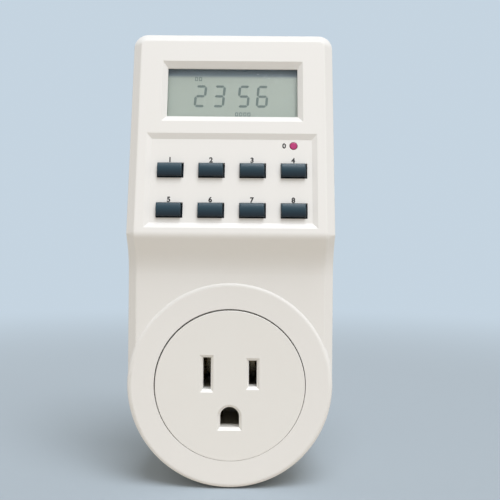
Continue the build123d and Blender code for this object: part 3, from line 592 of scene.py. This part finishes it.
sheet = bmesh.new()
outline = bmesh.ops.create_grid(sheet, x_segments=1, y_segments=1, size=0.5)["verts"]
bmesh.ops.scale(sheet, verts=outline, vec=(sheet_width, sheet_length, 1))
bmesh.ops.translate(sheet, verts=outline, vec=(0, sheet_middle, 0))
bmesh.ops.delete(sheet, geom=sheet.faces[:], context="FACES_ONLY")
for x, t, scale in dome_places.values():
    hole = bmesh.ops.create_circle(sheet, segments=dome_sides, radius=dome_foot * scale - dome_skin)
    bmesh.ops.translate(sheet, verts=hole["verts"], vec=(x, t, 0))
bmesh.ops.triangle_fill(sheet, use_beauty=True, edges=sheet.edges[:])
thicken(sheet, sheet.faces[:], -sheet_thick)
keypad_piece("keypad_sheet", sheet)

for name, (x, t, scale) in dome_places.items():
    dome = bmesh.new()
    foot = dome_foot * scale
    top = dome_top * scale
    ceiling = dome_height - dome_roof
    profile = [(0, dome_height), (top - dome_round, dome_height), (top, dome_height - dome_round),
               (foot, 0), (foot - dome_skin, 0), (top - dome_skin, ceiling), (0, ceiling)]
    verts = [dome.verts.new((radius, 0, height)) for radius, height in profile]
    edges = [dome.edges.new(pair) for pair in zip(verts, verts[1:])]
    bmesh.ops.spin(dome, geom=verts + edges, axis=(0, 0, 1), angle=2 * pi, steps=dome_sides)
    bmesh.ops.remove_doubles(dome, verts=dome.verts, dist=weld_distance)
    bmesh.ops.translate(dome, verts=dome.verts, vec=(x, t, 0))
    piece = keypad_piece("dome_" + name.removeprefix("key_"), dome)
    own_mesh(piece)

# Plug: two flat brass blades and a round ground pin, stamped and turned, standing out of the back.
plug_color = (0.78, 0.62, 0.34, 1)
plug_dull = (0.66, 0.50, 0.26, 1)
plug_brass = finish_with(
    "plug_brass", drawn, (0.3, 0.00002), {"Metallic": 1.0}, Color=plug_color, Tarnish=plug_dull,
    Line_Stretch=(1.0, 0.05, 1.0), Smoothest=0.2, Roughest=0.32)
dress(plug_brass, "neutral_blade", "live_blade", "ground_pin")

# Inside: the boards and what stands on them, the wiring and the screws. Each has the finish of its
# kind; all but the screws are shut in between the shells.
plastics = {
    "lcd_frame": ((0.62, 0.61, 0.58, 1), (0.58, 0.57, 0.54, 1), 0.5, 0.6),
    "zebra_strips": ((0.06, 0.065, 0.07, 1), (0.20, 0.20, 0.20, 1), 0.6, 0.7),
    "display_board": ((0.015, 0.10, 0.035, 1), (0.02, 0.13, 0.045, 1), 0.3, 0.4),
    "power_board": ((0.30, 0.16, 0.06, 1), (0.36, 0.20, 0.08, 1), 0.5, 0.65),
    "controller_chip": ((0.010, 0.010, 0.011, 1), (0.016, 0.016, 0.017, 1), 0.3, 0.45),
    "relay": ((0.012, 0.013, 0.015, 1), (0.018, 0.019, 0.021, 1), 0.35, 0.45),
    "film_capacitor": ((0.66, 0.38, 0.03, 1), (0.60, 0.33, 0.025, 1), 0.25, 0.35),
    "electrolytic_capacitors": ((0.010, 0.014, 0.030, 1), (0.014, 0.018, 0.036, 1), 0.25, 0.35),
    "varistor": ((0.015, 0.06, 0.22, 1), (0.012, 0.05, 0.18, 1), 0.35, 0.5),
    "resistors": ((0.32, 0.37, 0.33, 1), (0.28, 0.32, 0.29, 1), 0.4, 0.5),
    "rectifier_diodes": ((0.010, 0.010, 0.010, 1), (0.016, 0.016, 0.016, 1), 0.45, 0.55),
    "driver_transistor": ((0.011, 0.011, 0.012, 1), (0.017, 0.017, 0.018, 1), 0.45, 0.55),
    "live_wire": ((0.010, 0.010, 0.010, 1), (0.014, 0.014, 0.014, 1), 0.4, 0.5),
    "neutral_wire": ((0.70, 0.70, 0.67, 1), (0.65, 0.65, 0.62, 1), 0.4, 0.5),
    "switched_wire": ((0.34, 0.010, 0.008, 1), (0.30, 0.009, 0.007, 1), 0.4, 0.5),
    "ribbon_cable": ((0.26, 0.27, 0.29, 1), (0.22, 0.23, 0.25, 1), 0.4, 0.5)}
for name, (color, drift, smooth, rough) in plastics.items():
    dress(finish_with(name + "_finish", moulded, (0.25, 0.00003), {}, Color=color, Drift_Color=drift,
                      Drift_Scale=250.0, Grain_Scale=3000.0, Smoothest=smooth, Roughest=rough), name)

steel_color = (0.56, 0.56, 0.55, 1)
steel_dull = (0.42, 0.42, 0.41, 1)
zinc_steel = finish_with(
    "zinc_steel", drawn, (0.25, 0.00002), {"Metallic": 1.0}, Color=steel_color, Tarnish=steel_dull,
    Line_Stretch=(1.0, 1.0, 1.0), Smoothest=0.28, Roughest=0.42)
dress(zinc_steel, "quartz_crystal", "backup_cell", "housing_screws", "display_board_screws",
      "power_board_screws")
